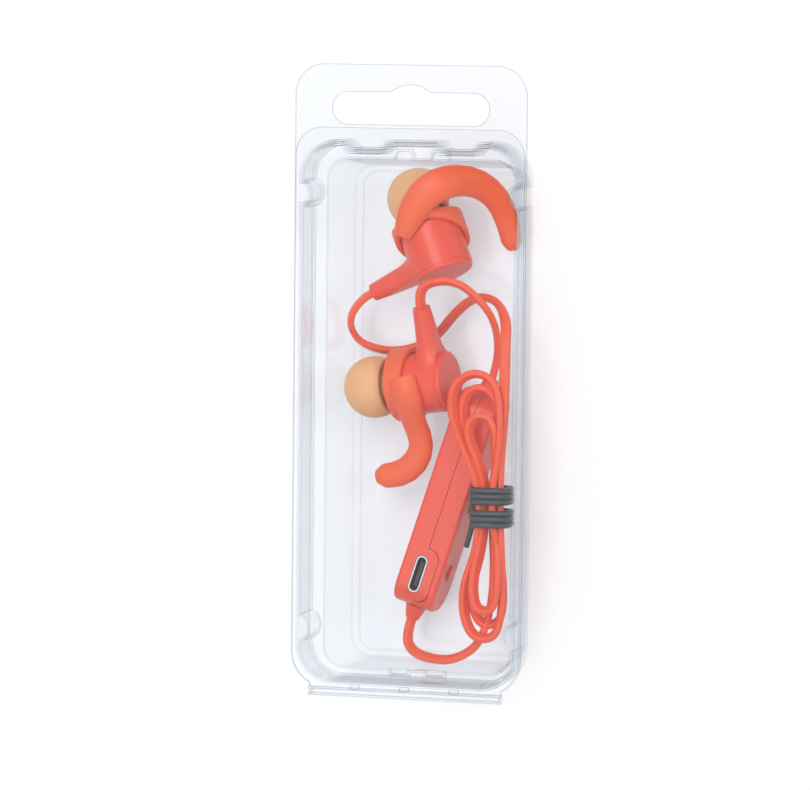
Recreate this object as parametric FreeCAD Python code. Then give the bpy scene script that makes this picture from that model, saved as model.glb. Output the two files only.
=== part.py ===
import FreeCAD, Part
import math
import os

# A small clear clamshell pack, thermoformed from PET sheet, holding a wireless in-ear headset.
# Millimetres. The pack lies on the floor of its tray: +X across the pack, +Y towards the hang
# tab, +Z towards the lid. The origin is under the middle of the whole pack.

V = FreeCAD.Vector
UP = V(0, 0, 1)

# Pack, overall
sheet = 0.4                  # thickness of the formed sheet
pack_width = 45.0            # across the lid's flange
room_above, room_below = 7.1, 3.4  # between the contents and the two ends of the lid's flange
tab_height = 12.0            # the hang tab, above the lid's flange
pack_depth = 25.2            # from the tray's floor to the front of the lid's flange
tray_margin = 0.25           # how far the tray's flange stands out past the lid's
lid_top_radius = 5.2
flange_bottom_radius = 6.7
tab_radius = 5.8

# Hinge bead along the bottom edge: half on the lid, half on the tray
bead_length = 38.0
bead_reach = 1.6             # how far it stands out past the crease
bead_height = 1.6            # of each half, from the plane where the flanges meet
gusset_spacing = 9.8
gusset_width = 1.8
gusset_size = 0.7

# Lid plug and the tray's recess around it
plug_width = 41.6            # inside the lid's mouth
rim_top = 3.5                # lid flange, at the tab end
rim_bottom = 1.7             # lid flange, at the hinge end
plug_corner = 6.3
plug_depth = 8.4             # from the front of the lid's flange to the back of its panel
nest_gap = 0.3               # between the lid's plug and the tray's recess
step_near, step_inset = 4.4, 0.7   # the two long steps in the tab end's wall, and from them to its corners
step_depth = 1.5
dimple_radius = 2.95         # upright half-round snaps in the long walls
dimple_back = 1.15           # their axis, behind the wall
dimple_from_top = 9.2
dimple_from_bottom = 9.4

# Tray's ledge and deep part
ledge_side = 3.05            # from the recess wall to the deep wall, along the sides
ledge_top = 2.8
ledge_bottom = 1.1
deep_corner = 4.0
deep_draft_side = 1.15       # how much further in the wall stands at the floor
deep_draft_top = 1.9
deep_draft_bottom = 0.4
floor_bevel = 1.2            # slope between the deep wall and the floor
notch_near, notch_far = 1.6, 5.5   # the locating notches in the ledge's two ends
notch_depth = 1.2
notch_top, notch_bottom = 1.6, 0.9 # how far they run into the ledge

# Hang slot
slot_length = 30.8
slot_height = 6.2
slot_below_top = 5.2         # from the tab's top edge down to the slot
bump_width = 5.4
bump_height = 1.4

# Earphone, measured along its axis from the middle of the ear tip
tip_radius = 6.0
tip_skirt = 3.0              # where the dome's rim ends
tip_wall = 0.7
nozzle_radius = 2.5
nozzle_bore = 1.7
nozzle_length = 7.0
core_radius = 3.4            # sleeve of the ear tip, on the nozzle
core_end = 4.1
housing_radius = 5.9
housing_start = 4.3
housing_end = 15.1
cap_depth = 1.0
cap_inset = 0.15
stem_at = 13.2
stem_length = 15.2           # from the housing's axis
stem_root_radius = 4.4       # where its flare starts inside the housing
stem_bend_radius = 3.1
stem_neck_radius = 2.3       # where the flare has ended
stem_end_radius = 1.7
collar_radius = 7.1
collar_start = 4.7
collar_length = 6.6
collar_cut = 2.4             # how far down its slanted mouth starts, on the axis
arm_thickness = 3.4
arm_steps = 2                # cross-sections from one station to the next
fit_gap = 0.1                # between a rubber piece and what it is pushed over

# The rubber hooks' arms: the middle of each cross-section and its width
upper_arm = [(V(-4.3, 27.4, 13.6), 4.0), (V(-2.7, 31.4, 14.4), 5.6), (V(-0.5, 34.9, 14.8), 6.4),
             (V(2.7, 37.4, 14.5), 6.6), (V(5.9, 38.2, 12.6), 6.2), (V(9.2, 37.5, 9.4), 5.8),
             (V(12.1, 34.8, 6.8), 5.2), (V(13.8, 30.5, 4.8), 4.8), (V(14.5, 26.2, 3.4), 4.2),
             (V(14.6, 24.6, 3.0), 2.2)]
lower_arm = [(V(-4.1, 0.1, 14.2), 5.5), (V(-2.8, -4.6, 14.0), 5.4), (V(-2.3, -8.9, 11.4), 4.8),
             (V(-1.5, -12.9, 9.6), 4.8), (V(-2.9, -16.5, 8.8), 5.2), (V(-6.2, -18.9, 8.0), 5.2),
             (V(-9.5, -19.6, 7.4), 4.8), (V(-11.2, -19.9, 7.2), 2.4)]

# Each earphone: middle of the ear tip, its axis, the way its stem points, the lean of the hook's
# collar mouth in degrees, and the hook's arm
buds = [("upper", V(-3.4, 34.3, 6.7), V(0.402, -0.890, 0.22), V(-0.899, -0.430, -0.095), 25, upper_arm),
        ("lower", V(-11.7, -2.4, 6.9), V(0.983, 0.12, 0.13), V(-0.05, 0.96, 0.26), -5, lower_arm)]

# In-line control box
box_length = 44.0
box_depth = 11.4
box_thick = 8.4
box_corner = 4.6
box_edge = 0.7
seam_gap = 0.12
box_x, box_y = 3.8, -23.7    # the middle of its back face
box_lean = 18.2              # degrees from +Y towards +X
port_from_end = 6.9
port_side = -0.4
port_length = 7.6
port_width = 2.5
port_depth = 5.0
port_wall = 0.3
port_inset = 0.1
tongue_length = 5.0
tongue_thick = 0.7
tongue_short = 0.8           # how far the tongue stays behind the port's rim
panel_reach = 2.7            # moulded field round the port, past the seam
panel_length = 11.0
panel_deep = 6.0
panel_radius = 2.4
button_radius = 1.5
button_from_end = 8.1        # the outer buttons; the third is in the middle
button_stands = 0.5
button_buried = 1.2
button_travel = 0.3
button_gap = 0.15
boot_length = 2.8
boot_base_radius = 2.15
boot_end_radius = 1.35

# Flat cord, 2 mm wide: its plain solids here are round tubes of that width. The long one leaves
# the upper earphone's stem, is folded into the hank, and ends in the box's lower boot.
cord_width = 2.0
stem_exit = 3.0              # straight length out of a stem, and out of a boot
boot_exit = 4.0
long_cord_start = [V(-17.0, 10.3, 8.0), V(-15.8, 6.0, 4.6), V(-11.0, 4.2, 2.3), V(-5.8, 4.7, 1.7),
                   V(-0.8, 7.2, 2.2), V(3.8, 12.6, 4.4), V(8.2, 15.8, 5.6), V(12.8, 15.2, 7.8),
                   V(15.6, 11.6, 11.0), V(16.1, 7.6, 13.6), V(16.1, 3.2, 13.6)]
long_cord_end = [V(11.6, -50.0, 12.0), V(9.2, -52.64, 12.0), V(5.4, -54.4, 12.0), V(0.6, -54.4, 10.4),
                 V(-3.4, -53.6, 7.6)]
short_cord = [V(1.2, 18.9, 13.6), V(6.6, 19.0, 13.6), V(11.2, 15.0, 12.4), V(13.1, 10.3, 9.0)]

# Hank: the folded length of the long cord, pinched by the tie
hank_under, hank_over = 12.1, 16.2       # the upper loops, which lie over the control box
hank_low_under = 9.6                     # the lower loops hang deeper, beside the box
waist_left, waist_right = 10.6, 16.6
waist_top, waist_bottom = -19.4, -29.2
waist_under, waist_over = 10.4, 15.3
upper_left, upper_top = 5.4, 3.2
lower_left = 7.0
hank_right = 17.1
tie_radius = 0.6
tie_turns = 3
tie_pitch = 1.12
tie_ridge = 0.5              # height of each turn's rounded back over the groove beside it
tie_at = [-21.9, -26.3]
waist_corner = 1.5
tie_tail = [V(9.2, -29.6, 12.3), V(8.2, -32.2, 11.2)]
# The outlines of its two bundles of loops and of the gaps in them, in the XY plane
upper_loops = [V(waist_left, waist_top), V(upper_left, -7), (V(6.4, 0.6), V(11.2, upper_top)),
               V(hank_right, upper_top), V(hank_right, -12), V(waist_right, waist_top)]
upper_gap = [V(12.2, -14.5), V(8.6, -6), (V(11.4, -1), V(14.6, -5.5))]
lower_loops = [V(waist_left, waist_bottom), V(lower_left, -38), (V(7.9, -44.6), V(10.5, -49)),
               V(12.7, -51), V(15.4, -51), (V(16.6, -50.2), V(hank_right, -48.4)), V(hank_right, -36),
               V(waist_right, waist_bottom)]
lower_gap = [V(13.4, -33.5), V(10.3, -42), (V(12.6, -46.4), V(14.9, -43))]

# Heights and ends that follow from the sizes above
meet_z = pack_depth - sheet                      # where the two flanges meet
ledge_z = pack_depth - plug_depth                # top of the ledge, back of the lid's panel
contents_top = max(middle.y + width / 2 for middle, width in upper_arm)
contents_bottom = min(point.y for point in long_cord_end) - cord_width / 2
lid_length = room_above + contents_top - contents_bottom + room_below  # from the crease to the lid's top edge
whole_length = tab_height + lid_length + bead_reach
hinge_y = -whole_length / 2                      # outer line of the bead
crease_y = hinge_y + bead_reach
lid_top_y = crease_y + lid_length
tab_top_y = lid_top_y + tab_height
plug_low_y = crease_y + rim_bottom
plug_high_y = lid_top_y - rim_top
step_far = plug_width / 2 - plug_corner - step_inset
low_dimple, high_dimple = plug_low_y + dimple_from_bottom, plug_high_y - dimple_from_top
contents_shift = V(0, crease_y + room_below - contents_bottom, 0)
port_from_middle = box_length / 2 - port_from_end
button_spacing = box_length / 2 - button_from_end


def polar(centre, radius, degrees):
    """The point at an angle round a centre, in the XY plane."""
    turn = math.radians(degrees)
    return centre + V(radius * math.cos(turn), radius * math.sin(turn), 0)


def outline(steps):
    """A closed face from a list of points; a pair in the list is an arc's middle and its end."""
    edges = []
    here = steps[0]
    for step in steps[1:]:
        if isinstance(step, tuple):
            edges.append(Part.Arc(here, step[0], step[1]).toShape())
            here = step[1]
        elif (step - here).Length > 1e-6:
            edges.append(Part.makeLine(here, step))
            here = step
    return Part.Wire(edges)


def rounded(x0, x1, y0, y1, low_radius, high_radius, z):
    """A rectangle with rounded corners, one radius at the low end and one at the high end."""
    steps = [V(x0 + low_radius, y0, z)]
    for x, y, side, end, radius, start in ((x1, y0, -1, 1, low_radius, 270), (x1, y1, -1, -1, high_radius, 0),
                                           (x0, y1, 1, -1, high_radius, 90), (x0, y0, 1, 1, low_radius, 180)):
        centre = V(x + side * radius, y + end * radius, z)
        steps.append(polar(centre, radius, start))
        steps.append((polar(centre, radius, start + 45), polar(centre, radius, start + 90)))
    return outline(steps)


def plate(wire, thickness):
    """A flat piece of the given thickness on top of a closed outline."""
    return Part.Face(wire).extrude(UP * thickness)


def plug_outline(out, z, dimples):
    """The plug's outline at height z, a distance outside the lid's inner surface, with snaps at some Y."""
    half = plug_width / 2 + out
    low, high = plug_low_y - out, plug_high_y + out
    radius = plug_corner + out
    dimple = dimple_radius - out
    chord = math.sqrt(dimple ** 2 - (dimple_back - out) ** 2)
    reach = half + dimple_back - out - dimple
    ramp = out * math.tan(math.radians(22.5))
    steps = [V(-half + radius, low, z), V(half - radius, low, z)]
    corner = V(half - radius, low + radius, z)
    steps.append((polar(corner, radius, 315), polar(corner, radius, 0)))
    for y in dimples:
        steps += [V(half, y - chord, z), (V(reach, y, z), V(half, y + chord, z))]
    corner = V(half - radius, high - radius, z)
    steps += [V(half, high - radius, z), (polar(corner, radius, 45), polar(corner, radius, 90))]
    for far, near in ((step_far, step_near), (-step_near, -step_far)):
        steps += [V(far - ramp, high, z), V(far - ramp - step_depth, high - step_depth, z),
                  V(near + ramp + step_depth, high - step_depth, z), V(near + ramp, high, z)]
    corner = V(-half + radius, high - radius, z)
    steps += [V(-half + radius, high, z), (polar(corner, radius, 135), polar(corner, radius, 180))]
    for y in dimples[::-1]:
        steps += [V(-half, y + chord, z), (V(-reach, y, z), V(-half, y - chord, z))]
    corner = V(-half + radius, low + radius, z)
    steps += [V(-half, low + radius, z), (polar(corner, radius, 225), polar(corner, radius, 270))]
    return outline(steps)


def plug_solid(out, top, foot, dimples):
    """The space inside one layer of the plug's wall, between two heights."""
    return plate(plug_outline(out, foot, dimples), top - foot)


def deep_outline(out, z):
    """The deep part's outline at height z, at a distance outside its inner surface."""
    sunk = (ledge_z - z) / (ledge_z - sheet)
    half = plug_width / 2 + nest_gap + sheet - ledge_side + out - deep_draft_side * sunk
    low = plug_low_y + ledge_bottom - out + deep_draft_bottom * sunk
    high = plug_high_y - ledge_top + out - deep_draft_top * sunk
    return rounded(-half, half, low, high, deep_corner + out, deep_corner + out, z)


def deep_solid(out, top, foot):
    """The deep part as a block, with its floor's edge sloped off."""
    sections = [deep_outline(out - floor_bevel, foot), deep_outline(out, foot + floor_bevel), deep_outline(out, top)]
    return Part.makeLoft(sections, True, True)


def bead_half(sign):
    """One half of the hinge bead: an arched channel with closed ends, above or below the flanges."""
    def arch(reach, height, length):
        low = crease_y - bead_reach / 2 - reach / 2
        high = low + reach
        shoulder = meet_z + sign * (height - reach / 2)
        wire = outline([V(-length / 2, low, meet_z), V(-length / 2, low, shoulder),
                        (V(-length / 2, (low + high) / 2, meet_z + sign * height), V(-length / 2, high, shoulder)),
                        V(-length / 2, high, meet_z), V(-length / 2, low, meet_z)])
        return Part.Face(wire).extrude(V(length, 0, 0))
    outer = arch(bead_reach, bead_height, bead_length)
    return outer.cut(arch(bead_reach - 2 * sheet, bead_height - sheet, bead_length - 2 * sheet))


def hinge_land(z):
    """The flange's square foot behind the bead, where the corners would round away."""
    return Part.makeBox(bead_length, flange_bottom_radius, sheet, V(-bead_length / 2, crease_y, z))


def gussets():
    """Three small wedges that stiffen the lid's edge against the bead."""
    wedges = []
    for place in (-gusset_spacing, 0, gusset_spacing):
        x = place - gusset_width / 2
        wedge = outline([V(x, crease_y, meet_z), V(x, crease_y, pack_depth + gusset_size),
                         V(x, crease_y + gusset_size, pack_depth), V(x, crease_y + gusset_size, meet_z),
                         V(x, crease_y, meet_z)])
        wedges.append(Part.Face(wedge).extrude(V(gusset_width, 0, 0)))
    return wedges


def lid():
    """The front half: a flange round a shallow plug that drops into the tray."""
    half = pack_width / 2
    dimples = [low_dimple, high_dimple]
    flange = plate(rounded(-half, half, crease_y, lid_top_y, flange_bottom_radius, lid_top_radius, meet_z), sheet)
    shell = flange.fuse([hinge_land(meet_z), plug_solid(sheet, meet_z, ledge_z, dimples), bead_half(1)] + gussets())
    return shell.cut(plug_solid(0, pack_depth, ledge_z + sheet, dimples)).removeSplitter()


def hang_slot():
    """The hang slot: a long rounded slot with a bump in the middle of its top edge."""
    top = tab_top_y - slot_below_top
    radius = slot_height / 2
    below = meet_z - 2 * sheet
    half = slot_length / 2
    slot = rounded(-half, half, top - slot_height, top, radius - 0.01, radius - 0.01, below)
    near, far = bump_width / 2, bump_width / 2 + bump_height
    shoulder = top + bump_height / 2
    bump = outline([V(-far, top - radius, below), V(far, top - radius, below), V(far, top, below),
                    V(near, shoulder, below), (V(0, top + bump_height, below), V(-near, shoulder, below)),
                    V(-far, top, below), V(-far, top - radius, below)])
    return plate(slot, 3 * sheet).fuse(plate(bump, 3 * sheet))


def notch_blocks(out, top):
    """The notches in each end of the ledge, as blocks a distance outside their inner surface."""
    blocks = []
    depth = notch_depth + out
    for deep, reach in ((plug_low_y + ledge_bottom, -notch_bottom), (plug_high_y - ledge_top, notch_top)):
        away = math.copysign(1, reach)
        inner, outer = deep - away * nest_gap, deep + reach + away * out
        slope = abs(reach) / 2
        for side in (-1, 1):
            near, far = side * (notch_near - out), side * (notch_far + out)
            base = [V(near, inner, top - depth), V(far, inner, top - depth), V(far - side * slope, outer, top - depth),
                    V(near + side * slope, outer, top - depth), V(near, inner, top - depth)]
            blocks.append(plate(Part.makePolygon(base), depth))
    return blocks


def tray():
    """The rear half: flange with the hang tab, recess for the lid's plug, ledge and deep part.

    Its recess has snaps at the tab end only, because the lid would turn into them at the hinge end."""
    half = pack_width / 2 + tray_margin
    under = meet_z - sheet
    dimples = [high_dimple]
    flange = plate(rounded(-half, half, crease_y, tab_top_y, flange_bottom_radius, tab_radius, under), sheet)
    shell = flange.fuse([hinge_land(under), plug_solid(nest_gap + 2 * sheet, meet_z, ledge_z - sheet, dimples),
                         deep_solid(sheet, ledge_z, 0), bead_half(-1)] + notch_blocks(sheet, ledge_z))
    hollows = [plug_solid(nest_gap + sheet, meet_z, ledge_z, dimples), deep_solid(0, ledge_z + sheet, sheet),
               hang_slot()]
    return shell.cut(hollows + notch_blocks(0, ledge_z)).removeSplitter()


def frame(origin, along, side):
    """A placement whose local Z runs along one direction, and whose X runs to one side."""
    z = V(along).normalize()
    x = (side - z * side.dot(z)).normalize()
    return FreeCAD.Placement(origin, FreeCAD.Rotation(x, z.cross(x), z, "ZXY"))


def turned(points):
    """A solid turned about the local Z axis; each point is radius and height, a pair is an arc."""
    def at(pair):
        return V(pair[0], 0, pair[1])
    steps = [tuple(at(p) for p in step) if isinstance(step[0], tuple) else at(step) for step in points]
    return Part.Face(outline(steps)).revolve(V(0, 0, 0), UP, 360)


def housing():
    """The moulded housing of one earphone with the stem that its cord leaves by."""
    body = turned([(0, housing_start), (nozzle_radius + sheet, housing_start),
                   (housing_radius, housing_start + 2.1), (housing_radius, housing_end), (0, housing_end),
                   (0, housing_start)])
    flare = [(0, 0), (stem_root_radius, 0), (stem_root_radius, 0.28 * stem_length),
             ((stem_bend_radius, 0.4 * stem_length), (stem_neck_radius, 0.6 * stem_length)),
             (stem_end_radius, stem_length), (0, stem_length), (0, 0)]
    stem = turned(flare)
    stem.Placement = FreeCAD.Placement(V(0, 0, stem_at), FreeCAD.Rotation(V(0, 1, 0), 90))
    behind = Part.makeCylinder(2 * housing_radius, housing_radius, V(0, 0, housing_end))
    return body.fuse(stem).cut(behind).removeSplitter()


def rear_cap():
    """The cap over the housing's open end, with a rounded rim."""
    radius = housing_radius - cap_inset
    bend = cap_depth / 2
    middle = (radius - bend + bend * math.sin(math.pi / 4), housing_end + bend + bend * math.sin(math.pi / 4))
    return turned([(0, housing_end), (radius, housing_end), (radius, housing_end + bend),
                   (middle, (radius - bend, housing_end + cap_depth)), (0, housing_end + cap_depth), (0, housing_end)])


def nozzle():
    """The sound tube on the front of the housing."""
    return turned([(nozzle_bore, housing_start - nozzle_length), (nozzle_radius, housing_start - nozzle_length),
                   (nozzle_radius, housing_start), (0, housing_start), (0, housing_start - 1),
                   (nozzle_bore, housing_start - 1), (nozzle_bore, housing_start - nozzle_length)])


def ear_tip():
    """The soft tip: a round dome that folds back over the sleeve which grips the nozzle."""
    def on(radius, height):
        return (math.sqrt(radius ** 2 - height ** 2), height)
    bore = nozzle_radius + fit_gap
    inner = tip_radius - tip_wall
    front = -math.sqrt(tip_radius ** 2 - bore ** 2)
    fold = -math.sqrt(inner ** 2 - core_radius ** 2)
    return turned([(bore, front), (bore, core_end), (core_radius, core_end), (core_radius, fold),
                   ((inner, 0), on(inner, tip_skirt)), on(tip_radius, tip_skirt), ((tip_radius, 0), (bore, front))])


def tube_path(points):
    """Straight runs joined by tangent arcs, each as large as its two runs allow; also the radii."""
    edges, radii = [], []
    here = points[0]
    for before, corner, after in zip(points, points[1:], points[2:]):
        back, ahead = before - corner, after - corner
        turn = math.pi - back.getAngle(ahead)
        run = 0.45 * min(back.Length, ahead.Length)
        radii.append(run / math.tan(turn / 2))
        back.normalize()
        ahead.normalize()
        start, end = corner + back * run, corner + ahead * run
        centre = corner + (back + ahead).normalize() * (radii[-1] / math.cos(turn / 2))
        middle = centre + (corner - centre).normalize() * radii[-1]
        edges += [Part.makeLine(here, start), Part.Arc(start, middle, end).toShape()]
        here = end
    edges.append(Part.makeLine(here, points[-1]))
    return Part.Wire(edges), radii


def tube(points, radius):
    """A round tube along a route."""
    path, radii = tube_path(points)
    ring = Part.Wire(Part.makeCircle(radius, points[0], points[1] - points[0]))
    return path.makePipeShell([ring], True, False, 1), radii


def hook_arm(stations):
    """A bar through oval cross-sections, broad side up, along a smooth line through their middles."""
    line = Part.BSplineCurve()
    line.interpolate([middle for middle, width in stations])
    marks = [line.parameter(middle) for middle, width in stations]
    ovals = []
    for before, after, (_, wide), (_, narrow) in zip(marks, marks[1:], stations, stations[1:]):
        for part in range(arm_steps if after < marks[-1] else arm_steps + 1):
            place = before + (after - before) * part / arm_steps
            width = wide + (narrow - wide) * part / arm_steps
            middle, ahead = line.value(place), V(*line.tangent(place)[0])
            across = ahead.cross(UP).normalize()
            lift = across.cross(ahead) * min(arm_thickness, 0.75 * width) / 2
            ovals.append(Part.Wire(Part.Ellipse(middle + across * width / 2, middle + lift, middle).toShape()))
    lengths = [Part.makeLoft([here, ahead], True, True) for here, ahead in zip(ovals, ovals[1:])]
    return lengths[0].fuse(lengths[1:]).removeSplitter()


def ear_hook(place, mouth_lean, arm):
    """The rubber hook: a collar pushed over the housing, and an arm that bends away from it."""
    bore = housing_radius + fit_gap
    far = collar_start + collar_length
    collar = turned([(bore, collar_start), (collar_radius, collar_start), (collar_radius, far), (bore, far),
                     (bore, collar_start)])
    mouth = Part.makeBox(6 * bore, 6 * bore, 2 * bore, V(-3 * bore, -3 * bore, far - collar_cut))
    mouth.rotate(V(0, 0, far - collar_cut), V(1, 0, 0), mouth_lean)
    collar = collar.cut(mouth)
    collar.Placement = place
    hole = Part.makeCylinder(bore, 4 * collar_length, V(0, 0, -collar_length))
    hole.Placement = place
    return collar.fuse(hook_arm(arm).cut(hole)).removeSplitter()


def box_body():
    """The control box as one block: a flat pill on its edge, with its two broad faces' edges rounded."""
    half = box_length / 2
    block = plate(rounded(-half, half, 0, box_depth, box_corner, box_corner, -box_thick / 2), box_thick)
    rims = [e for e in block.Edges if abs(e.BoundBox.ZMin - e.BoundBox.ZMax) < 1e-6]
    return block.makeFillet(box_edge, rims)


def port_block(length, width, depth):
    """A block with round ends, down from the front of the control box, where the charging port is."""
    radius = width / 2 - 0.001
    block = plate(rounded(-length / 2, length / 2, -width / 2, width / 2, radius, radius, 0), depth)
    inward = FreeCAD.Rotation(V(1, 0, 0), -90)
    block.Placement = FreeCAD.Placement(V(-port_from_middle, box_depth - depth, port_side), inward)
    return block


def base_region(grow):
    """The half of the control box that holds the port, with the moulded field round the port."""
    half = Part.makeBox(2 * box_length, 4 * box_depth, box_length,
                        V(-box_length, -box_depth, grow - box_length))
    field = Part.makeBox(panel_length + 2 * grow, panel_deep + grow, panel_reach + box_thick / 2 + grow,
                         V(-port_from_middle - panel_length / 2 - grow, box_depth - panel_deep - grow, -box_thick / 2))
    high = panel_reach + grow
    corners = [e for e in field.Edges if abs(e.BoundBox.ZMin - high) < 1e-6 and abs(e.BoundBox.ZMax - high) < 1e-6
               and abs(e.BoundBox.XMin - e.BoundBox.XMax) < 1e-6]
    return half.fuse(field.makeFillet(panel_radius, corners))


def button_places():
    return [V(place, box_depth / 2, box_thick / 2) for place in (-button_spacing, 0, button_spacing)]


def button(place):
    """One round button: it stands out of the cover and reaches a little way into it."""
    edge = button_stands / 2
    bend = (1 - math.sin(math.pi / 4)) * edge
    shape = turned([(0, -button_buried), (button_radius, -button_buried), (button_radius, button_stands - edge),
                    ((button_radius - bend, button_stands - bend), (button_radius - edge, button_stands)),
                    (0, button_stands), (0, -button_buried)])
    shape.translate(place)
    return shape


def boot(end):
    """The tapered relief at one end of the control box."""
    return Part.makeCone(boot_base_radius, boot_end_radius, boot_length,
                         V(end * box_length / 2, box_depth / 2, 0), V(end, 0, 0))


def box_place():
    """Where the control box lies: its length is local X, its depth local Y, its button face local Z."""
    lean = math.radians(box_lean)
    along, face = V(math.sin(lean), math.cos(lean), 0), V(math.cos(lean), -math.sin(lean), 0)
    return frame(V(box_x, box_y, sheet), face, along)


def control_box():
    """The pieces of the control box, in place, by name."""
    body = box_body()
    cavity = port_block(port_length, port_width, port_depth)
    well = button_buried + button_travel
    holes = [Part.makeCylinder(button_radius + button_gap, well, p - UP * well) for p in button_places()]
    outer, inner = 2 * port_inset, 2 * (port_inset + port_wall)
    tunnel = port_block(port_length - outer, port_width - outer, port_depth)
    bore = port_block(port_length - inner, port_width - inner, port_depth)
    tongue = Part.makeBox(tongue_length, port_depth - tongue_short, tongue_thick,
                          V(-port_from_middle - tongue_length / 2, box_depth - port_depth, port_side - tongue_thick / 2))
    pieces = {"control_base": body.common(base_region(0)).cut(cavity),
              "control_cover": body.cut([base_region(seam_gap)] + holes),
              "port_shell": tunnel.cut(bore), "port_tongue": tongue,
              "boot_lower": boot(-1), "boot_upper": boot(1)}
    for name, spot in zip(("button_lower", "button_middle", "button_upper"), button_places()):
        pieces[name] = button(spot)
    for shape in pieces.values():
        shape.Placement = box_place().multiply(shape.Placement)
    return pieces


def hank():
    """The folded length of the long cord: two flat bundles of loops, pinched where the tie holds them."""
    def raised(steps, z):
        return [tuple(p + UP * z for p in step) if isinstance(step, tuple) else step + UP * z
                for step in steps + [steps[0]]]

    def bundle(loops, gap, under, over):
        return plate(outline(raised(loops, under)), over - under).cut(plate(outline(raised(gap, under)), over - under))
    upper = bundle(upper_loops, upper_gap, hank_under, hank_over)
    lower = bundle(lower_loops, lower_gap, hank_low_under, waist_over)
    waist = plate(waist_outline(0), waist_top - waist_bottom)
    waist.Placement = along_y(waist_bottom)
    return waist.fuse([upper, lower]).removeSplitter()


def along_y(y):
    """A placement that turns a plate's thickness to +Y and starts it at y."""
    return FreeCAD.Placement(V(0, y, 0), FreeCAD.Rotation(V(1, 0, 0), -90))


def waist_outline(out):
    """The pinched loops' cross-section, or a line at a distance round it."""
    radius = waist_corner + out
    return rounded(waist_left - out, waist_right + out, -waist_over - out, -waist_under + out, radius, radius, 0)


def swept(section, track):
    """A section carried round a closed track of straight runs and round corners."""
    pieces = []
    for edge in track.OrderedEdges:
        start, end = edge.valueAt(edge.FirstParameter), edge.valueAt(edge.LastParameter)
        if isinstance(edge.Curve, Part.Circle):
            turn = math.degrees(edge.Length / edge.Curve.Radius)
            pieces.append(section.revolve(edge.Curve.Center, UP, turn))
            section = section.copy()
            section.rotate(edge.Curve.Center, UP, turn)
        else:
            pieces.append(section.extrude(end - start))
            section = section.copy()
            section.translate(end - start)
    return pieces[0].fuse(pieces[1:]).removeSplitter()


def twist_tie():
    """The plastic-covered wire tie: two windings of close turns round the hank, with a bent end."""
    away = tie_radius + fit_gap
    x = waist_left + waist_corner
    middle = -waist_over - away

    def at(side, along):
        return V(x, middle + side, along * tie_pitch)
    steps = [at(tie_radius, -tie_turns / 2), at(0, -tie_turns / 2)]
    for number in range(tie_turns):
        centre = number + 0.5 - tie_turns / 2
        steps.append((at(-tie_ridge, centre), at(0, centre + 0.5)))
    steps += [at(tie_radius, tie_turns / 2), at(tie_radius, -tie_turns / 2)]
    winding = swept(Part.Face(outline(steps)), waist_outline(away))
    windings = []
    for y in tie_at:
        turn = winding.copy()
        turn.Placement = along_y(y)
        windings.append(turn)
    side = V(waist_left - away, tie_at[1], (waist_under + waist_over) / 2)
    core = 0.9 * tie_radius
    link = Part.makeCylinder(core, tie_at[0] - tie_at[1], side, V(0, 1, 0))
    tail, _ = tube([side - V(0, tie_pitch, 0)] + tie_tail, core)
    return windings[0].fuse([windings[1], link, tail]).removeSplitter()


def export(name, shape):
    shape.exportStep(os.path.join("parts", name + ".step"))


def export_content(name, shape):
    """Writes a piece of what is inside the pack, which stays at its place between the pack's ends."""
    shape.translate(contents_shift)
    export(name, shape)


os.makedirs("parts", exist_ok=True)
export("tray", tray())
export("lid", lid())
exits = {}
for name, middle, along, side, mouth_lean, arm in buds:
    place = frame(middle, along, side)
    pieces = {"housing": housing(), "rear_cap": rear_cap(), "nozzle": nozzle(), "ear_tip": ear_tip()}
    for piece, shape in pieces.items():
        shape.Placement = place
        export_content(name + "_" + piece, shape)
    export_content(name + "_ear_hook", ear_hook(place, mouth_lean, arm))
    exits[name] = [place.multVec(V(stem_length + run, 0, stem_at)) for run in (0, stem_exit)]
for name, shape in control_box().items():
    export_content(name, shape)
for name, end in (("boot_lower", -1), ("boot_upper", 1)):
    exits[name] = [box_place().multVec(V(end * (box_length / 2 + boot_length + run), box_depth / 2, 0))
                   for run in (boot_exit, 0)]
export_content("hank", hank())
export_content("twist_tie", twist_tie())
routes = {"long_cord_start": exits["upper"] + long_cord_start, "long_cord_end": long_cord_end + exits["boot_lower"],
          "short_cord": exits["lower"] + short_cord + exits["boot_upper"]}
for name, route in routes.items():
    solid, radii = tube(route, cord_width / 2)
    export_content(name, solid)
    path = tube_path(route)[0]
    print(name, "length", round(path.Length, 1), "volume", round(solid.Volume, 1),
          "section times length", round(math.pi * cord_width ** 2 / 4 * path.Length, 1))
    print("   route", [tuple(round(v, 2) for v in point) for point in route], "radii", [round(r, 1) for r in radii])
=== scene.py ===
import math

import bpy
from mathutils import Matrix, Vector


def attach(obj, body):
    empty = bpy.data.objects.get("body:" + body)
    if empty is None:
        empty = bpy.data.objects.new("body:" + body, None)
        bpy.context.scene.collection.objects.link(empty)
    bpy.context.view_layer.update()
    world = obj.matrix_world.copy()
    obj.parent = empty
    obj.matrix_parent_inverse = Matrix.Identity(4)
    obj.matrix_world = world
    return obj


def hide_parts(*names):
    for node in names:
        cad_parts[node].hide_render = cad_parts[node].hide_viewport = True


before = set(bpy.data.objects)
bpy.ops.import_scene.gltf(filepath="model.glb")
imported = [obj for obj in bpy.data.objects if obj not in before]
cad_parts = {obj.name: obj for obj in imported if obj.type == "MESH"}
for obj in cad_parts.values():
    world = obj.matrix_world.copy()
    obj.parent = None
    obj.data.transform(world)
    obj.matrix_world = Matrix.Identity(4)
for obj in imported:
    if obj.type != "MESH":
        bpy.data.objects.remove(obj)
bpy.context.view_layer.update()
scene = bpy.context.scene

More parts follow.
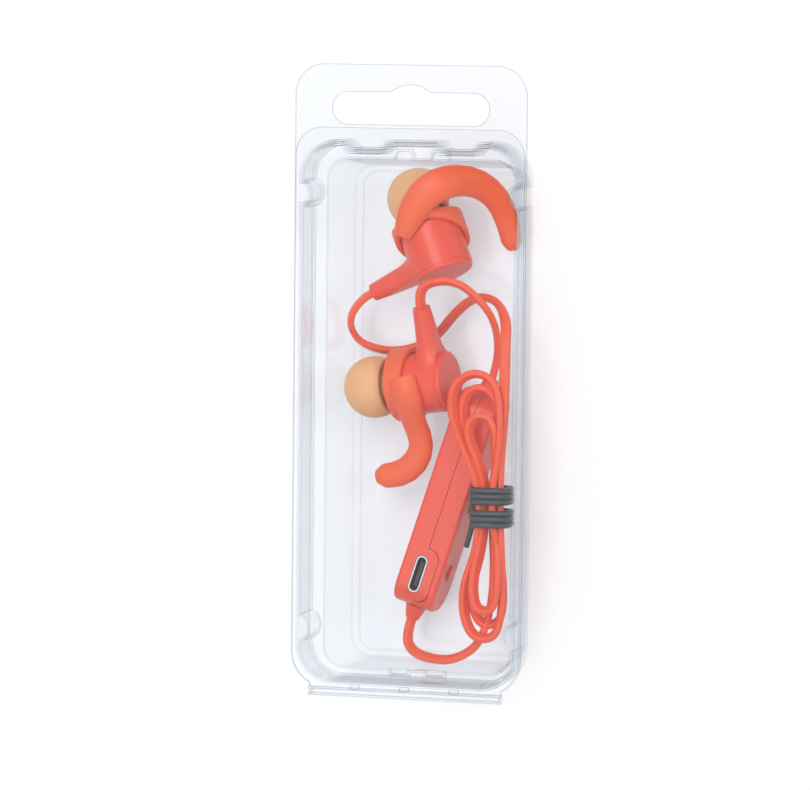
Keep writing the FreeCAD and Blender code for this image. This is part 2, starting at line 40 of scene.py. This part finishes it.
# Camera: a long lens almost straight above the pack, which lies on its back, and a little to the
# right of it. Its roll is the small turn of the pack in the photograph.
camera_place = Vector((0.25249, 0.07800, 0.91301))
camera_back = Vector((0.27293, 0.08646, 0.95814))
camera_roll = math.radians(0.59)
flat_right = Vector((camera_back.z, 0, -camera_back.x)).normalized()
flat_up = camera_back.cross(flat_right)
image_right = math.cos(camera_roll) * flat_right + math.sin(camera_roll) * flat_up
image_up = -math.sin(camera_roll) * flat_right + math.cos(camera_roll) * flat_up
camera_data = bpy.data.cameras.new("camera")
camera_data.lens = 217.04
camera_data.sensor_width = 36
camera_data.sensor_fit = "HORIZONTAL"
camera = bpy.data.objects.new("camera", camera_data)
camera.matrix_world = Matrix((image_right, image_up, camera_back)).transposed().to_4x4()
camera.matrix_world.translation = camera_place
scene.collection.objects.link(camera)
scene.camera = camera
scene.view_settings.view_transform = "Standard"
scene.cycles.transparent_max_bounces = 32

# Table: a wide matt white top. It takes the pack's soft shadow, and to the camera and in
# reflections it is lifted to plain white.
table_reach = 3.0
table_below = 0.0004
table_colour = (0.60, 0.60, 0.60, 1)
table_lift = 0.385
table_mesh = bpy.data.meshes.new("table_top")
table_corners = [(-table_reach, -table_reach, 0), (table_reach, -table_reach, 0),
                 (table_reach, table_reach, 0), (-table_reach, table_reach, 0)]
table_mesh.from_pydata(table_corners, [], [(0, 1, 2, 3)])
table = bpy.data.objects.new("table_top", table_mesh)
table.location.z = -table_below
scene.collection.objects.link(table)
table_white = bpy.data.materials.new("table_white")
table_white.use_nodes = True
nodes, link = table_white.node_tree.nodes, table_white.node_tree.links.new
shader = nodes["Principled BSDF"]
shader.inputs["Base Color"].default_value = table_colour
shader.inputs["Roughness"].default_value = 0.9
shader.inputs["Specular IOR Level"].default_value = 0.1
shader.inputs["Emission Color"].default_value = (1, 1, 1, 1)
rays = nodes.new("ShaderNodeLightPath")
seen_or_mirrored = nodes.new("ShaderNodeMath")
seen_or_mirrored.operation = "MAXIMUM"
lift = nodes.new("ShaderNodeMath")
lift.operation = "MULTIPLY"
lift.inputs[1].default_value = table_lift
link(rays.outputs["Is Camera Ray"], seen_or_mirrored.inputs[0])
link(rays.outputs["Is Glossy Ray"], seen_or_mirrored.inputs[1])
link(seen_or_mirrored.outputs[0], lift.inputs[0])
link(lift.outputs[0], shader.inputs["Emission Strength"])
table_mesh.materials.append(table_white)

# Light: a pale room, a wide soft box over the tab end, a small one low on the right for the streak
# on the housings, and a pale card on the left that shows as a haze in the lid's lower half.
room_colour = (0.93, 0.96, 1.0, 1)
room_strength = 0.62
lamps = [("soft_box_top", (-0.12, 0.55, 1.15), 0.75, 6.3),
         ("soft_box_right", (0.75, 0.2, 0.65), 0.3, 1.6),
         ("pale_card_left", (-0.28, -0.31, 1.02), 0.47, 1.3)]
room = bpy.data.worlds.new("room")
scene.world = room
room.use_nodes = True
room.node_tree.nodes["Background"].inputs["Color"].default_value = room_colour
room.node_tree.nodes["Background"].inputs["Strength"].default_value = room_strength
for name, place, size, watts in lamps:
    lamp_data = bpy.data.lights.new(name, "AREA")
    lamp_data.size = size
    lamp_data.energy = watts
    lamp = bpy.data.objects.new(name, lamp_data)
    lamp.location = place
    lamp.rotation_euler = (-Vector(place)).to_track_quat("-Z", "Y").to_euler()
    scene.collection.objects.link(lamp)

# Cords: flat extruded rubber, 2 mm wide and 1.2 mm thick. The long one leaves the upper earphone,
# is folded three times each way into the tied hank, and is moulded into the lower end of the
# control box. The short one joins the lower earphone to the box's upper end.
cord_width, cord_thickness = 0.0020, 0.0012
cord_tilt = 62                      # degrees, how far the flat side usually leans from the camera
mix_first, mix_second, mix_result = 6, 7, 2   # a Mix node's colour sockets


def moulded_finish():
    """Shader group: the faint unevenness of moulded rubber and plastic."""
    cloud_size, cloud_detail, grain_detail, grain_roughness = 160, 3, 2, 0.12
    group = bpy.data.node_groups.new("moulded_finish", "ShaderNodeTree")
    inputs = {"Colour": "NodeSocketColor", "Deep Colour": "NodeSocketColor", "Roughness": "NodeSocketFloat",
              "Grain Size": "NodeSocketFloat", "Mottle": "NodeSocketFloat"}
    outputs = {"Colour": "NodeSocketColor", "Roughness": "NodeSocketFloat", "Height": "NodeSocketFloat"}
    for way, sockets in (("INPUT", inputs), ("OUTPUT", outputs)):
        for name, kind in sockets.items():
            group.interface.new_socket(name=name, in_out=way, socket_type=kind)
    nodes, link = group.nodes, group.links.new
    given = nodes.new("NodeGroupInput")
    result = nodes.new("NodeGroupOutput")
    where = nodes.new("ShaderNodeTexCoord")
    cloud = nodes.new("ShaderNodeTexNoise")
    cloud.inputs["Scale"].default_value = cloud_size
    cloud.inputs["Detail"].default_value = cloud_detail
    grain = nodes.new("ShaderNodeTexNoise")
    grain.inputs["Detail"].default_value = grain_detail
    link(where.outputs["Object"], cloud.inputs["Vector"])
    link(where.outputs["Object"], grain.inputs["Vector"])
    link(given.outputs["Grain Size"], grain.inputs["Scale"])
    amount = nodes.new("ShaderNodeMath")
    amount.operation = "MULTIPLY"
    link(cloud.outputs["Fac"], amount.inputs[0])
    link(given.outputs["Mottle"], amount.inputs[1])
    tint = nodes.new("ShaderNodeMix")
    tint.data_type = "RGBA"
    link(amount.outputs[0], tint.inputs["Factor"])
    link(given.outputs["Colour"], tint.inputs[mix_first])
    link(given.outputs["Deep Colour"], tint.inputs[mix_second])
    link(tint.outputs[mix_result], result.inputs["Colour"])
    rough = nodes.new("ShaderNodeMath")
    rough.operation = "MULTIPLY_ADD"
    rough.inputs[1].default_value = grain_roughness
    link(grain.outputs["Fac"], rough.inputs[0])
    link(given.outputs["Roughness"], rough.inputs[2])
    link(rough.outputs[0], result.inputs["Roughness"])
    link(grain.outputs["Fac"], result.inputs["Height"])
    return group


finish_group = moulded_finish()


def moulded(name, colour, deep_colour, roughness, glow=0.0, glow_depth=0.002):
    """A moulded rubber or plastic. glow is the share of light that comes back from under its surface."""
    grain_size, grain_depth, grain_strength, grain_roughness, mottle = 9000, 0.00005, 0.05, 0.06, 0.5
    material = bpy.data.materials.new(name)
    material.use_nodes = True
    nodes, link = material.node_tree.nodes, material.node_tree.links.new
    shader = nodes["Principled BSDF"]
    finish = nodes.new("ShaderNodeGroup")
    finish.node_tree = finish_group
    finish.inputs["Colour"].default_value = (*colour, 1)
    finish.inputs["Deep Colour"].default_value = (*deep_colour, 1)
    finish.inputs["Roughness"].default_value = roughness - grain_roughness
    finish.inputs["Grain Size"].default_value = grain_size
    finish.inputs["Mottle"].default_value = mottle
    relief = nodes.new("ShaderNodeBump")
    relief.inputs["Strength"].default_value = grain_strength
    relief.inputs["Distance"].default_value = grain_depth
    link(finish.outputs["Colour"], shader.inputs["Base Color"])
    link(finish.outputs["Roughness"], shader.inputs["Roughness"])
    link(finish.outputs["Height"], relief.inputs["Height"])
    link(relief.outputs["Normal"], shader.inputs["Normal"])
    shader.inputs["Subsurface Weight"].default_value = glow
    shader.inputs["Subsurface Radius"].default_value = (1.0, 0.35, 0.2)
    shader.inputs["Subsurface Scale"].default_value = glow_depth
    return material


cord_rubber = moulded("cord_rubber", (0.95, 0.115, 0.04), (0.85, 0.07, 0.02), 0.42, 0.15, 0.001)

half_width, half_thickness = cord_width / 2, cord_thickness / 2
section_points = [(half_width, 0), (half_width, half_thickness), (0, half_thickness),
                  (-half_width, half_thickness), (-half_width, 0), (-half_width, -half_thickness),
                  (0, -half_thickness), (half_width, -half_thickness)]
section_line = bpy.data.curves.new("flat_cord_section", "CURVE")
section_line.dimensions = "2D"
section = section_line.splines.new("NURBS")
section.points.add(len(section_points) - 1)
for point, (x, y) in zip(section.points, section_points):
    point.co = (x, y, 0, 1)
section.use_cyclic_u = True
section.order_u = 3
section.resolution_u = 3
cord_section = bpy.data.objects.new("flat_cord_section", section_line)


def flat_cord(name, points, resolution):
    """The flat cord along given points, in millimetres; a fourth number is the tilt there."""
    line = bpy.data.curves.new(name, "CURVE")
    line.dimensions = "3D"
    line.twist_mode = "Z_UP"
    route = line.splines.new("NURBS")
    route.points.add(len(points) - 1)
    for point, place in zip(route.points, points):
        point.co = (*(value / 1000 for value in place[:3]), 1)
        point.tilt = math.radians(place[3] if len(place) > 3 else cord_tilt)
    route.order_u = 3
    route.use_endpoint_u = True
    route.resolution_u = resolution
    line.bevel_mode = "OBJECT"
    line.bevel_object = cord_section
    line.use_fill_caps = True
    line.materials.append(cord_rubber)
    piece = bpy.data.objects.new(name, line)
    scene.collection.objects.link(piece)
    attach(piece, "tray")
    return piece


def route_length(piece):
    """The real length of a cord's smooth line, in metres."""
    bare = piece.copy()
    bare.data = piece.data.copy()
    bare.data.bevel_object = None
    mesh = bpy.data.meshes.new_from_object(bare)
    ends = [[mesh.vertices[number].co for number in edge.vertices] for edge in mesh.edges]
    return sum((start - end).length for start, end in ends)


from_upper_earphone = [
    (-11.75, 16.04, 8.16), (-14.45, 14.75, 7.87), (-17.0, 10.3, 8.0), (-15.8, 6.0, 4.6), (-11.0, 4.2, 2.3),
    (-5.8, 4.7, 1.7), (-0.8, 7.2, 2.2), (3.8, 12.6, 4.4), (8.2, 15.8, 5.6), (12.8, 15.2, 7.8),
    (15.6, 11.6, 11.0, 20), (16.1, 7.6, 13.6, 5), (16.1, 3.2, 13.6, 5)]
first_run_down = [(16.0, -6.0, 14.0, 20), (15.6, -14.0, 13.8), (15.5, -20.5, 13.9), (15.5, -28.0, 13.6)]
lower_outer_loop = [
    (16.0, -37.0, 13.4), (15.9, -45.6, 13.4), (14.4, -49.6, 13.3), (10.3, -49.6, 13.1), (8.3, -45.4, 13.0),
    (8.2, -40.0, 13.0), (10.6, -33.4, 13.2), (11.7, -28.0, 14.0), (11.7, -20.5, 14.2)]
upper_outer_loop = [
    (8.8, -13.6, 14.6), (5.9, -6.4, 15.0), (6.4, -0.6, 15.0), (10.4, 2.0, 14.9), (14.4, 0.2, 14.6),
    (15.6, -6.0, 15.0), (15.2, -13.5, 14.6), (14.0, -20.5, 14.6), (14.0, -28.0, 14.4)]
lower_middle_loop = [
    (15.6, -36.0, 11.6), (15.9, -43.0, 11.4), (14.9, -46.9, 11.4), (11.4, -47.3, 11.3), (9.5, -43.8, 11.2),
    (9.3, -39.6, 11.2), (10.9, -34.0, 11.2), (11.9, -28.0, 11.8), (12.0, -20.5, 12.0)]
upper_middle_loop = [
    (10.0, -14.0, 13.4), (7.6, -8.0, 13.3), (7.9, -2.9, 13.3), (11.0, -0.9, 13.2), (14.2, -3.0, 13.2),
    (15.0, -8.4, 13.2), (14.8, -14.0, 12.6), (14.0, -20.5, 12.4), (14.2, -28.0, 12.0)]
lower_inner_loop = [
    (15.3, -35.0, 14.6), (15.3, -40.6, 14.6), (14.2, -44.2, 14.5), (11.2, -44.0, 14.5), (10.4, -40.4, 14.4),
    (10.8, -36.0, 14.2), (12.3, -28.0, 13.2), (12.6, -20.5, 13.2)]
upper_inner_loop = [
    (11.0, -14.6, 14.4), (9.3, -10.6, 14.9), (9.8, -7.0, 15.0), (13.2, -6.4, 15.0), (14.6, -9.8, 14.8),
    (14.2, -14.0, 13.6), (13.6, -20.5, 11.2), (13.2, -28.0, 11.0)]
last_run_down = [(13.6, -36.0, 10.6), (13.2, -44.0, 10.9)]
into_lower_boot = [
    (11.6, -50.0, 12.0), (9.2, -52.64, 12.0), (5.4, -54.4, 12.0), (0.6, -54.4, 10.4), (-3.4, -53.6, 7.6),
    (-5.2, -51.06, 6.1), (-3.95, -47.26, 6.1)]
long_route = (from_upper_earphone + first_run_down + lower_outer_loop + upper_outer_loop + lower_middle_loop
              + upper_middle_loop + lower_inner_loop + upper_inner_loop + last_run_down + into_lower_boot)
long_cord = flat_cord("long_cord", long_route, 10)
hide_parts("long_cord_start", "hank", "long_cord_end")

short_route = [
    (-0.99, 13.73, 12.41), (-1.43, 16.6, 13.15), (1.2, 18.9, 13.6), (6.6, 19.0, 13.6), (11.2, 15.0, 12.4),
    (13.1, 10.3, 9.0), (12.8, 3.66, 6.1), (11.55, -0.14, 6.1)]
short_cord = flat_cord("short_cord_run", short_route, 14)
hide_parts("short_cord")

for piece, route, lay, on_it in ((long_cord, long_route, "coiled", [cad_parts["twist_tie"]]),
                                 (short_cord, short_route, "loose", [])):
    print(piece.name, "length", round(route_length(piece), 4))
    route_length(piece)

# Pack: tray and lid are each one sheet of clear PET, 0.4 mm thick, drawn over a mould while soft.
# They are joined along the rolled hinge bead at the bottom. Face on the sheet shows its own faint tint; the
# grey it takes as it turns edge on is painted shade.
face_tint, slanted_tint = (0.974, 0.981, 0.990, 1), (0.966, 0.975, 0.986, 1)
# Painted shade: steep and edge-on parts of the sheet are drawn greyer, in place of the refraction its
# thickness gives.
steep_painted_shade, edge_on_painted_shade = (0.80, 0.82, 0.85, 1), (0.20, 0.22, 0.25, 1)
# Painted shade: the dark grey lines drawn along the sheet's folds and cut edges.
fold_painted_shade = (0.22, 0.25, 0.29, 1)
fold_radius = 0.00018
wave_size, wave_depth = 45, 0.0008
clear_sheet = bpy.data.materials.new("clear_sheet")
clear_sheet.use_nodes = True
nodes, link = clear_sheet.node_tree.nodes, clear_sheet.node_tree.links.new
nodes.remove(nodes["Principled BSDF"])
# The see-through colour runs from the sheet's own tint face on to painted shade edge on.
slant = nodes.new("ShaderNodeLayerWeight")
slant.inputs["Blend"].default_value = 0.5
tint = nodes.new("ShaderNodeValToRGB")
stops = tint.color_ramp.elements
stops[0].position, stops[0].color = 0.0, face_tint
stops[1].position, stops[1].color = 1.0, edge_on_painted_shade
stops.new(0.8).color = slanted_tint
stops.new(0.93).color = steep_painted_shade
link(slant.outputs["Facing"], tint.inputs["Fac"])

# A fold or a cut edge gets a fine grey line of painted shade: there the rounded normal leaves the surface's
# own.
side = nodes.new("ShaderNodeNewGeometry")
round_normal = nodes.new("ShaderNodeBevel")
round_normal.samples = 4
round_normal.inputs["Radius"].default_value = fold_radius
agreement = nodes.new("ShaderNodeVectorMath")
agreement.operation = "DOT_PRODUCT"
fold = nodes.new("ShaderNodeValToRGB")
stops = fold.color_ramp.elements
stops[0].position, stops[0].color = 0.80, fold_painted_shade
stops[1].position, stops[1].color = 0.995, (1, 1, 1, 1)
sheet_tint_and_painted_shade = nodes.new("ShaderNodeMix")
sheet_tint_and_painted_shade.data_type = "RGBA"
sheet_tint_and_painted_shade.blend_type = "MULTIPLY"
sheet_tint_and_painted_shade.inputs["Factor"].default_value = 1
through = nodes.new("ShaderNodeBsdfTransparent")
link(round_normal.outputs["Normal"], agreement.inputs[0])
link(side.outputs["True Normal"], agreement.inputs[1])
link(agreement.outputs["Value"], fold.inputs["Fac"])
link(tint.outputs["Color"], sheet_tint_and_painted_shade.inputs[mix_first])
link(fold.outputs["Color"], sheet_tint_and_painted_shade.inputs[mix_second])
link(sheet_tint_and_painted_shade.outputs[mix_result], through.inputs["Color"])

# The gloss is on the outer faces only, and a little wavy, as drawn sheet is.
shine = nodes.new("ShaderNodeFresnel")
shine.inputs["IOR"].default_value = 1.4
outside = nodes.new("ShaderNodeMath")
outside.operation = "SUBTRACT"
outside.use_clamp = True
outside.inputs[0].default_value = 1
outer_shine = nodes.new("ShaderNodeMath")
outer_shine.operation = "MULTIPLY"
where = nodes.new("ShaderNodeTexCoord")
waves = nodes.new("ShaderNodeTexNoise")
waves.inputs["Scale"].default_value = wave_size
waves.inputs["Detail"].default_value = 1
relief = nodes.new("ShaderNodeBump")
relief.inputs["Strength"].default_value = 0.1
relief.inputs["Distance"].default_value = wave_depth
gloss = nodes.new("ShaderNodeBsdfGlossy")
gloss.inputs["Roughness"].default_value = 0.04
sheet = nodes.new("ShaderNodeMixShader")
link(side.outputs["Backfacing"], outside.inputs[1])
link(shine.outputs["Fac"], outer_shine.inputs[0])
link(outside.outputs[0], outer_shine.inputs[1])
link(where.outputs["Object"], waves.inputs["Vector"])
link(waves.outputs["Fac"], relief.inputs["Height"])
link(relief.outputs["Normal"], gloss.inputs["Normal"])
link(outer_shine.outputs[0], sheet.inputs["Fac"])
link(through.outputs[0], sheet.inputs[1])
link(gloss.outputs[0], sheet.inputs[2])

# Lamps shine through the sheet with hardly any loss.
for_lamps = nodes.new("ShaderNodeBsdfTransparent")
for_lamps.inputs["Color"].default_value = (0.99, 0.99, 0.99, 1)
rays = nodes.new("ShaderNodeLightPath")
sheet_or_lamps = nodes.new("ShaderNodeMixShader")
link(rays.outputs["Is Shadow Ray"], sheet_or_lamps.inputs["Fac"])
link(sheet.outputs[0], sheet_or_lamps.inputs[1])
link(for_lamps.outputs[0], sheet_or_lamps.inputs[2])
link(sheet_or_lamps.outputs[0], nodes["Material Output"].inputs["Surface"])


def made_of(material, *names):
    """Gives CAD nodes their material."""
    for name in names:
        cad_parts[name].data.materials.clear()
        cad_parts[name].data.materials.append(material)


made_of(clear_sheet, "tray", "lid")

# Earphones: moulded housings with the cord's stem, a cap at the back, a soft ear tip on the
# nozzle, and a rubber hook whose collar is pushed over the housing. The hooks' CAD arms are made
# of short straight lengths, and here they get one soft skin.
coral_plastic = moulded("coral_plastic", (0.88, 0.078, 0.032), (0.83, 0.064, 0.026), 0.33, 0.1)
hook_rubber = moulded("hook_rubber", (0.95, 0.135, 0.035), (0.9, 0.095, 0.025), 0.45, 0.25, 0.003)
tip_rubber = moulded("tip_rubber", (1.0, 0.47, 0.22), (1.0, 0.41, 0.17), 0.5, 0.4, 0.004)
skin_step, skin_rounds = 0.00022, 14
for earphone in ("upper", "lower"):
    made_of(coral_plastic, earphone + "_housing", earphone + "_rear_cap", earphone + "_nozzle")
    made_of(tip_rubber, earphone + "_ear_tip")
    made_of(hook_rubber, earphone + "_ear_hook")
    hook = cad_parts[earphone + "_ear_hook"]
    skin = hook.modifiers.new("soft_skin", "REMESH")
    skin.mode = "VOXEL"
    skin.voxel_size = skin_step
    skin.use_smooth_shade = True
    soften = hook.modifiers.new("soften", "SMOOTH")
    soften.factor = 0.5
    soften.iterations = skin_rounds

# Control box: two moulded shells, three round buttons, a plated charging port with its black
# tongue, and a tapered boot where the cord goes in at each end.
port_metal = bpy.data.materials.new("port_metal")
port_metal.use_nodes = True
shader = port_metal.node_tree.nodes["Principled BSDF"]
shader.inputs["Base Color"].default_value = (0.50, 0.50, 0.51, 1)
shader.inputs["Metallic"].default_value = 1
shader.inputs["Roughness"].default_value = 0.36
port_tongue = moulded("port_tongue", (0.03, 0.03, 0.03), (0.02, 0.02, 0.02), 0.5)
made_of(coral_plastic, "control_base", "control_cover", "button_lower", "button_middle", "button_upper",
        "boot_lower", "boot_upper")
made_of(port_metal, "port_shell")
made_of(port_tongue, "port_tongue")

# Tie: plastic-covered wire, wound three times round the hank in two places, with one bent end.
# It holds the folded cord together.
tie_plastic = moulded("tie_plastic", (0.045, 0.05, 0.06), (0.03, 0.035, 0.04), 0.38)
made_of(tie_plastic, "twist_tie")
